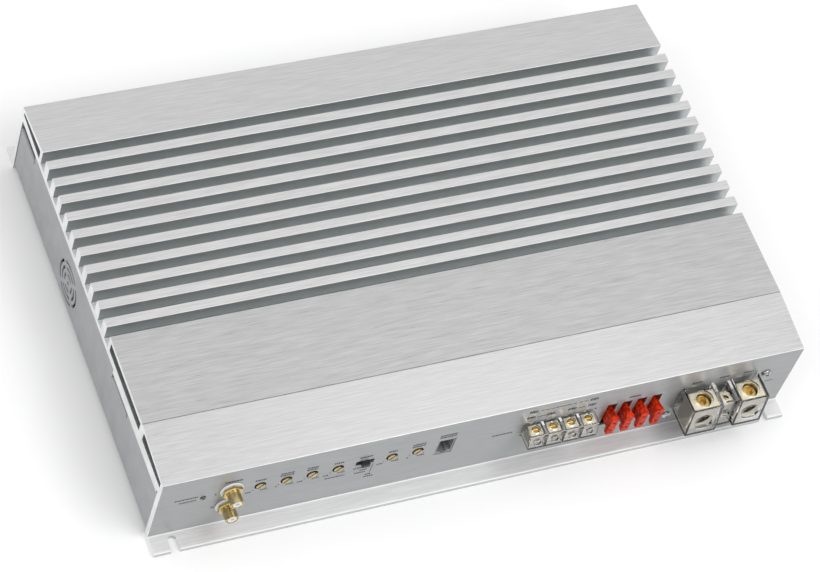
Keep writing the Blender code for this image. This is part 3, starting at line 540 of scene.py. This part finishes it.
def trim_scale(x, z, short):
    """The ticks at the ends of a control's travel, each with its short caption."""
    left = 1.4 if short else 4.0
    return [
        bar(x - 4.4, z - 3.9, TICK, tilt=TICK_TILT),
        bar(x + 4.0, z - 3.9, TICK, tilt=-TICK_TILT),
        *caption(x - 4.6 - left / 2, z - 5.8, left, height=SMALL),
        *caption(x + 3.2, z - 5.5, 5.0, height=SMALL),
    ]


CONTROL_CAPTIONS = (7.2, 8.4, 7.6, 5.8, 5.4, 8.2)  # their lengths, from the left
TWO_LINE_CONTROLS = (2, 3, 6)
SHORT_SCALE_CONTROLS = (2, 6)


def left_marks():
    """The marks by the power light, the input sockets and the trim controls."""
    strokes = caption(-192.2, 40.1, 14.3, height=SMALL) + caption(-190.8, 36.6, 10.5, height=SMALL)
    strokes += caption(-164.3, 50.0, 11.0, height=1.6)
    strokes += [bar(-174.0, 38.5, 0.5, 1.8), bar(-173.3, 37.8, 1.0, 0.5)]
    strokes += [bar(-174.0, 22.9, 0.5, 1.8), bar(-173.2, 23.3, 0.5, 1.8)]
    strokes.append(bar(-172.4, 22.4, 0.5, 1.0))
    for i, length in zip(TRIM_CONTROLS, CONTROL_CAPTIONS):
        low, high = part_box(f"trim_spindle_{i}")
        x, z = (low.x + high.x) / 2 / MM, (low.z + high.z) / 2 / MM
        lines = 2 if i in TWO_LINE_CONTROLS else 1
        strokes += caption(x - 0.6, z + 6.6 + 1.6 * (lines - 1), length, lines)
        strokes += trim_scale(x, z, i in SHORT_SCALE_CONTROLS)
    return strokes + caption(-96.8, 27.6, 12.6, height=SMALL)


def switch_marks():
    """The captions of the switch and its three places, and the lines that lead to two of them."""
    strokes = caption(-79.8, 44.4, 8.0)
    for x, z, length in ((-82.0, 32.4, 7.6), (-78.6, 29.2, 5.0), (-80.2, 26.4, 7.4)):
        strokes += caption(x, z, length, height=MEDIUM)
    strokes += [bar(-73.6, 29.0, 0.4, 11.0), bar(-76.4, 34.6, 0.4, 1.6)]
    for x, z, length in ((-74.2, 22.2, 4.0), (-73.4, 19.6, 6.2)):
        strokes += caption(x, z, length, height=MEDIUM)
    return strokes


def speaker_marks():
    """Two rows over the terminals, of captions joined by dashes, and one caption beside them."""
    low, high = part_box("speaker_terminal_cover")
    left, right = low.x / MM - 0.2, high.x / MM - 0.6
    middle = (left + right) / 2
    strokes = []
    for x in (left + 2.7, right - 2.7):
        strokes += caption(x, 55.4, 5.4, height=TALL) + caption(x, 48.8, 5.4, height=TALL)
    for x in (middle - 7.4, middle + 7.0):
        strokes += caption(x, 48.8, 5.4, height=TALL)
    strokes += caption(middle, 55.2, 10.4, height=0.9)
    for side in (-1, 1):
        strokes += [bar(middle + side * (7.6 + 3.6 * i), 55.2, 2.6, 0.5) for i in range(3)]
        strokes.append(bar(middle + side * 13.9, 48.4, 6.0, 0.5))
    strokes += [bar(left + 0.6, 29.0, 1.2, 1.6), bar(right + 1.4, 42.8, 1.2, 1.6)]
    return strokes + caption(11.0, 35.4, 13.5, height=1.4)


def print_marks():
    """All the marks of the front wall, as one thin piece."""
    strokes = left_marks() + switch_marks() + speaker_marks()
    low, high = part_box("remote_jack")
    strokes += caption((low.x + high.x) / 2 / MM - 0.4, 49.8, 11.0, 2)
    strokes += caption(97.2, 47.6, 7.8, height=1.9)
    for x, length in ((140.2, 7.0), (159.0, 6.8), (176.2, 7.2)):
        strokes += caption(x, 47.5, length)
    strokes += caption(196.0, 29.9, 6.5, height=0.8)
    merged("front_marks", strokes, INK)


# ---------------------------------------------------------------- small pieces seen from outside

CONTACTS = 6
CONTACT_PITCH = 1.02
CONTACT_RADIUS = 0.22 * MM
CONTACT_PATH = ((1.6, 42.4), (7.0, 37.6), (12.8, 34.4))  # y and z, from the mouth inwards


def jack_contacts():
    """Sprung wires that slope back and down through the jack's mouth."""
    low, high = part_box("remote_jack")
    middle = (low.x + high.x) / 2 / MM
    for i in range(CONTACTS):
        x = middle + (i - (CONTACTS - 1) / 2) * CONTACT_PITCH
        curve = bpy.data.curves.new(f"jack_contact_{i + 1}", "CURVE")
        curve.dimensions = "3D"
        curve.bevel_depth = CONTACT_RADIUS
        curve.bevel_resolution = 2
        curve.use_fill_caps = True
        spline = curve.splines.new("BEZIER")
        spline.bezier_points.add(len(CONTACT_PATH) - 1)
        for point, (y, z) in zip(spline.bezier_points, CONTACT_PATH):
            point.co = at(x, y, z)
            point.handle_left_type = point.handle_right_type = "AUTO"
        piece(f"jack_contact_{i + 1}", curve, GOLD)


# ---------------------------------------------------------------- inside the case

TRANSISTOR_HALF_WIDTH, TRANSISTOR_HALF_LENGTH, TRANSISTOR_THICK = 7.8, 7.4, 4.8
TRANSISTOR_PITCH = 20.5
ROW_HALF_LENGTH = 172
LEAD_OFFSETS = (-5.4, 0, 5.4)
LEAD_HALF_WIDTH = 0.5
LEAD_REACH = 3  # how far a lead runs out before it turns down to the board
LEAD_THICK = 0.6
LEAD_FOOT = 11.8


def transistor(x, y, top):
    """The plastic body of one power transistor under a pad."""
    low = at(x - TRANSISTOR_HALF_WIDTH, y - TRANSISTOR_HALF_LENGTH, top - TRANSISTOR_THICK)
    return block(low, at(x + TRANSISTOR_HALF_WIDTH, y + TRANSISTOR_HALF_LENGTH, top))


def leads(x, y, top, inwards):
    """A transistor's three leads: each runs out from the body, then down to the board."""
    made = []
    edge = y + inwards * TRANSISTOR_HALF_LENGTH
    bend = edge + inwards * (LEAD_REACH - LEAD_THICK)
    end = edge + inwards * LEAD_REACH
    for offset in LEAD_OFFSETS:
        left, right = x + offset - LEAD_HALF_WIDTH, x + offset + LEAD_HALF_WIDTH
        near, far = sorted((edge, end))
        made.append(block(at(left, near, top - 3.3), at(right, far, top - 3.3 + LEAD_THICK)))
        near, far = sorted((bend, end))
        made.append(block(at(left, near, LEAD_FOOT), at(right, far, top - 2.8)))
    return made


def fill_transistor_rows():
    """The transistors beside the one that the CAD model has at each pad, out to the pads' ends."""
    bodies = []
    legs = []
    for name, inwards in (("front", 1), ("back", -1)):
        low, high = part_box(f"power_transistor_{name}")
        clamp_low, clamp_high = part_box(f"transistor_clamp_{name}")
        y = ((clamp_low.y + clamp_high.y) / 2 - WALL_Y) / MM
        top = high.z / MM
        seated = (low.x + high.x) / 2 / MM
        for i in range(-9, 7):
            x = seated + i * TRANSISTOR_PITCH
            if i != 0 and abs(x) < ROW_HALF_LENGTH:
                bodies.append(transistor(x, y, top))
                legs += leads(x, y, top, inwards)
    merged("transistor_bodies", bodies, BLACK, 0.4)
    merged("transistor_leads", legs, STEEL)


CAN_RADIUS, CAN_HEIGHT, CAN_TOP_RADIUS = 5.0, 17.6, 4.4
CHIP_HALF_WIDTH = 5
RESISTOR_RADIUS, RESISTOR_LENGTH = 1.3, 6.5


def fill_board():
    """Small parts on the main board: capacitors, resistors and chips, in tidy groups."""
    board_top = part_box("main_board")[1].z / MM
    cans = []
    tops = []
    chips = []
    resistors = []
    for x, y in itertools.product(range(-165, -100, 16), (118, 136)):
        cans.append(rod(at(x, y, board_top + 9.2), CAN_RADIUS, CAN_HEIGHT))
        tops.append(rod(at(x, y, board_top + 18.1), CAN_TOP_RADIUS, 0.3))
    for x in range(-150, -71, 26):
        low = at(x - CHIP_HALF_WIDTH, 196, board_top + 0.5)
        chips.append(block(low, at(x + CHIP_HALF_WIDTH, 203, board_top + 4)))
    sideways = Matrix.Rotation(math.pi / 2, 4, "Y")
    for x, y in itertools.product(range(-160, -68, 13), (168, 175)):
        place = at(x, y, board_top + 1.9)
        resistors.append(rod(place, RESISTOR_RADIUS, RESISTOR_LENGTH, sideways, 12))
    merged("board_capacitors", cans, BLACK, 0.4)
    merged("board_capacitor_tops", tops, STEEL)
    merged("board_chips", chips, BLACK, 0.2)
    merged("board_resistors", resistors, WHITE, 0.3)


# ---------------------------------------------------------------- the scene

CASE_MIDDLE = Vector((0, 0, 0.03))


def area_light(name, place, size, power):
    """A rectangular light that faces the middle of the case."""
    light = bpy.data.lights.new(name, "AREA")
    light.shape = "RECTANGLE"
    light.size, light.size_y = size
    light.energy = power
    obj = bpy.data.objects.new(name, light)
    obj.location = place
    obj.rotation_euler = (CASE_MIDDLE - Vector(place)).to_track_quat("-Z", "Y").to_euler()
    bpy.context.scene.collection.objects.link(obj)


def make_stage():
    """The pale floor."""
    floor = Nodes("pale_floor")
    grain = floor.noise(6, detail=3.0)
    floor.colour(floor.ramp(grain, [(0.3, (0.95, 0.95, 0.95)), (0.7, (0.97, 0.97, 0.97))]))
    floor.roughness(floor.remap(grain, 0.75, 0.85))
    mesh = bpy.data.meshes.new("floor")
    shape = bmesh.new()
    bmesh.ops.create_grid(shape, x_segments=1, y_segments=1, size=4)
    shape.to_mesh(mesh)
    shape.free()
    plane = bpy.data.objects.new("floor", mesh)
    bpy.context.scene.collection.objects.link(plane)
    mesh.materials.append(floor.material)


def make_lights():
    """A bright dome, darker low down, with soft lights from in front, overhead and the left."""
    world = bpy.data.worlds.new("studio")
    bpy.context.scene.world = world
    world.use_nodes = True
    tree = world.node_tree
    direction = tree.nodes.new("ShaderNodeTexCoord")
    height = tree.nodes.new("ShaderNodeSeparateXYZ")
    sky = tree.nodes.new("ShaderNodeValToRGB")
    sky.color_ramp.elements[0].position = 0.0
    sky.color_ramp.elements[0].color = (0.30, 0.30, 0.31, 1)
    sky.color_ramp.elements[1].position = 0.64
    sky.color_ramp.elements[1].color = (0.92, 0.92, 0.92, 1)
    tree.links.new(direction.outputs["Generated"], height.inputs["Vector"])
    tree.links.new(height.outputs["Z"], sky.inputs["Fac"])
    tree.links.new(sky.outputs["Color"], tree.nodes["Background"].inputs["Color"])
    tree.nodes["Background"].inputs["Strength"].default_value = 0.95
    area_light("key_light", (0.9, -1.3, 2.2), (1.6, 1.2), 20)
    area_light("top_light", (0.97, -0.05, 2.57), (1.6, 0.8), 4)
    area_light("left_light", (-1.7, -0.5, 1.7), (1.4, 1.2), 8)


CAMERA_PLACE = (-0.73579, -0.93154, 1.65274)
CAMERA_FORWARD = (0.36523, 0.45727, -0.81087)
CAMERA_RIGHT = (0.91324, -0.34495, 0.21681)
CAMERA_LENS = 142.505
CAMERA_SENSOR = 36


def make_camera():
    """Looks down on the front left corner, leaning so that its right side is the higher."""
    camera = bpy.data.cameras.new("camera")
    camera.sensor_width = CAMERA_SENSOR
    camera.lens = CAMERA_LENS
    obj = bpy.data.objects.new("camera", camera)
    forward = Vector(CAMERA_FORWARD).normalized()
    right = Vector(CAMERA_RIGHT).normalized()
    up = right.cross(forward).normalized()
    turn = Matrix((right, up, -forward)).transposed()
    obj.matrix_world = Matrix.Translation(CAMERA_PLACE) @ turn.to_4x4()
    bpy.context.scene.collection.objects.link(obj)
    bpy.context.scene.camera = obj


dress_cad()
print_marks()
jack_contacts()
fill_transistor_rows()
fill_board()
make_stage()
make_lights()
make_camera()
bpy.context.scene.view_settings.view_transform = "Standard"
